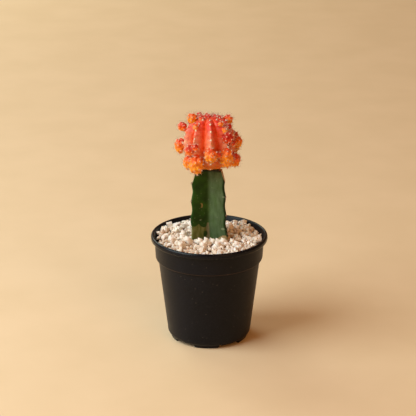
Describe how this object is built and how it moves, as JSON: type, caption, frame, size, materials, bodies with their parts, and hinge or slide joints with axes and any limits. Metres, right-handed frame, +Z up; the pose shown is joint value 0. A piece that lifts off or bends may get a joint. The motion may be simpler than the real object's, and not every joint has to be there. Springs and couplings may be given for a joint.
{
  "type": "potted moon cactus",
  "caption": "Potted moon cactus: a ribbed red and orange scion with offsets, grafted on a green ribbed stock, in a black nursery pot dressed with crushed white stone.",
  "frame": {"origin": "on the pot's axis, at the level that the feet stand on, which is the middle of the bounding box's underside", "axes": "+Z up along the pot's axis, -Y to the plant's front, where a valley of the stock faces, +X to the right as seen from the front"},
  "size_m": [0.08, 0.08, 0.1621],
  "materials": {
    "pot_plastic": "black moulded polypropylene, satin with a faint grain",
    "soil": "dark crumbly growing mix",
    "crushed_stone": "dull cream-white crushed stone",
    "stock_flesh": "green waxy skin with a pale bloom, corky tan at the foot and on the cut shoulders",
    "scion_flesh": "moist translucent coral red to orange flesh with white wool and pale spines"
  },
  "bodies": {
    "root": {"nursery_pot": "pot_plastic", "potting_soil": "soil", "stone_dressing": "crushed_stone", "green_stock": "stock_flesh", "grafted_head": "scion_flesh"}
  },
  "joints": []
}
